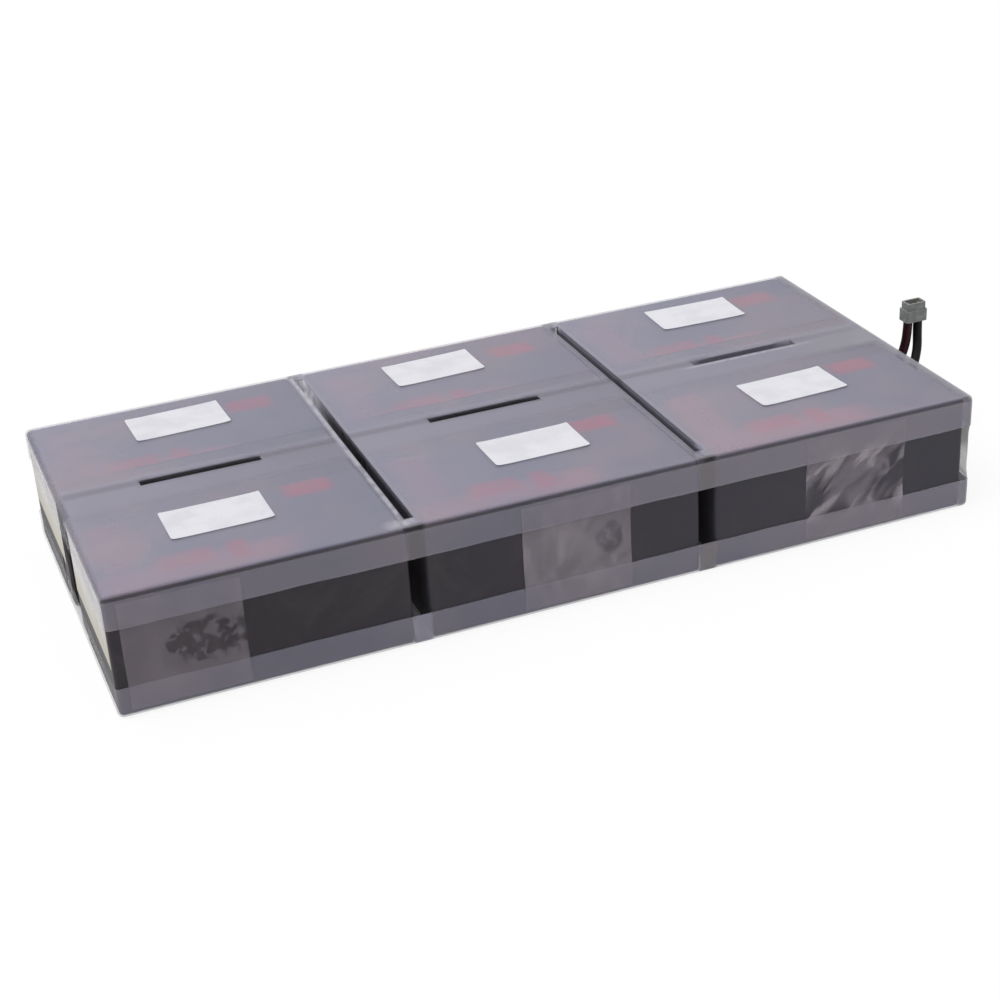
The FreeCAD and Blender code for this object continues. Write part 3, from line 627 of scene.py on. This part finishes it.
lidLook = {"upper": (0.0648, 0.0654), "dark": rgb(0.026, 0.025, 0.028), "worn": rgb(0.042, 0.04, 0.043),
           "face": rgb(0.10, 0.10, 0.14), "faceWorn": rgb(0.14, 0.125, 0.16)}
labelLook = {"rise": (0.026, 0.052), "lower": rgb(0.60, 0.575, 0.49), "upper": rgb(0.80, 0.785, 0.79),
             "aged": rgb(0.55, 0.52, 0.44)}
plugLook = {"grey": rgb(0.20, 0.205, 0.205), "scuffed": rgb(0.30, 0.305, 0.30)}
metalLooks = {
    "tinPlate": {"bright": rgb(0.66, 0.65, 0.64), "dull": rgb(0.45, 0.44, 0.43), "rough": 0.28},
    "brassPlate": {"bright": rgb(0.72, 0.55, 0.28), "dull": rgb(0.45, 0.33, 0.18), "rough": 0.26},
}


def lidFinish():
    k = lidLook
    finish, p = startFinish("lidPlastic")
    wear = p.cloud(40.0, 4.0, 0.6, 0.5)
    upper = p.parts()[2].ease(*k["upper"])
    bare = wear.ease(0.4, 0.7).blend(k["dark"], k["worn"])
    broadFace = wear.blend(k["face"], k["faceWorn"])
    closeFinish(p, {"Base Color": upper.blend(bare, broadFace), "Roughness": 0.40 + 0.2 * wear,
                    "Specular IOR Level": 0.3},
                (p.cloud(1200.0, 2.0), 0.15, 0.0004))
    return finish


def metalFinish(name, k):
    finish, p = startFinish(name)
    stain = p.cloud(160.0, 4.0, 0.6)
    drawn = p.node("ShaderNodeMapping", None, {"Vector": p, "Scale": (300.0, 3000.0, 3000.0)})
    brushed = drawn.cloud(1.0, 2.0)
    closeFinish(p, {"Base Color": stain.ease(0.4, 0.75).blend(k["bright"], k["dull"]), "Metallic": 1.0,
                    "Roughness": k["rough"] + 0.2 * stain}, (brushed, 0.1, 0.0002))
    return finish


def labelFinish():
    k = labelLook
    finish, p = startFinish("creamLabel")
    age = p.cloud(38.0, 3.0)
    fibre = p.cloud(800.0, 3.0, 0.6)
    tone = p.parts()[2].ease(*k["rise"]).blend(k["lower"], k["upper"])
    closeFinish(p, {"Base Color": (0.35 * age.ease(0.4, 0.7)).blend(tone, k["aged"]),
                    "Roughness": 0.5 + 0.15 * age, "Specular IOR Level": 0.35}, (fibre, 0.1, 0.0003))
    return finish


def plugFinish():
    finish, p = startFinish("plugGrey")
    scuff = p.cloud(260.0, 4.0, 0.6)
    tone = scuff.ease(0.4, 0.7).blend(plugLook["grey"], plugLook["scuffed"])
    closeFinish(p, {"Base Color": tone, "Roughness": 0.42 + 0.2 * scuff, "Specular IOR Level": 0.4},
                (p.cloud(1500.0, 2.0), 0.2, 0.0004))
    return finish


casePlastic, lidPlastic, creamLabel, plugGrey = caseFinish(), lidFinish(), labelFinish(), plugFinish()
tinPlate, brassPlate = (metalFinish(name, look) for name, look in metalLooks.items())

cadFinish = {"battery_case": casePlastic, "battery_lid": lidPlastic, "terminal_tin": tinPlate,
             "brass_contact": brassPlate, "wire_black": blackWire, "wire_red": redWire,
             "plug_grey": plugGrey, "label_cream": creamLabel}
dressed = 0
for node in nodes.values():
    if not node.hide_render:
        for k, held in enumerate(node.data.materials):
            node.data.materials[k] = cadFinish[held.name.split(".")[0]]
            dressed += 1
print("solids dressed:", dressed)


# floor, world and lamp
stageLook = {"size": 9.0, "drop": 0.0004, "floor": rgb(0.58, 0.58, 0.58), "floorGlow": 0.78, "glow": 1.12,
             "sky": 0.46, "key": 1.95, "soft": 50.0, "from": (-0.42, -0.08, 0.89)}


def rayShown(strand):
    seen = [strand.node("ShaderNodeLightPath", None, None, name) for name in
            ("Is Camera Ray", "Is Glossy Ray", "Is Transmission Ray")]
    return seen[0].most(seen[1]).most(seen[2])


def layFloor():
    s = stageLook
    finish = bpy.data.materials.new("paleFloor")
    finish.use_nodes = True
    finish.node_tree.nodes.clear()
    start = Strand(finish.node_tree)
    matte = start.node("ShaderNodeBsdfDiffuse", None, {"Color": s["floor"]})
    glow = start.node("ShaderNodeEmission", None, {"Color": rgb(1, 1, 1), "Strength": s["glow"]})
    shown = rayShown(start) * s["floorGlow"]
    mixed = start.node("ShaderNodeMixShader", None, {0: shown, 1: matte, 2: glow})
    start.node("ShaderNodeOutputMaterial", None, {"Surface": mixed})
    bm = bmesh.new()
    bmesh.ops.create_circle(bm, cap_ends=True, segments=96, radius=s["size"],
                            matrix=Matrix.Translation((0, 0, -s["drop"])))
    mesh = bpy.data.meshes.new("paleFloor")
    bm.to_mesh(mesh)
    bm.free()
    plain(mesh, "paleFloor", finish)


def lightScene():
    s = stageLook
    world = bpy.data.worlds.new("studio")
    world.use_nodes = True
    world.node_tree.nodes.clear()
    start = Strand(world.node_tree)
    level = rayShown(start) * (1.0 - s["sky"]) + s["sky"]
    sky = start.node("ShaderNodeBackground", None, {"Color": rgb(1, 1, 1), "Strength": level})
    start.node("ShaderNodeOutputWorld", None, {"Surface": sky})
    scene.world = world
    lamp = bpy.data.lights.new("keyLamp", "SUN")
    lamp.energy, lamp.angle = s["key"], math.radians(s["soft"])
    key = bpy.data.objects.new("keyLamp", lamp)
    key.location = Vector(s["from"]) * 2
    key.rotation_euler = Vector(s["from"]).to_track_quat("Z", "Y").to_euler()
    scene.collection.objects.link(key)


layFloor()
lightScene()
scene.view_settings.view_transform = "Standard"
print("stage: floor, world and key lamp")
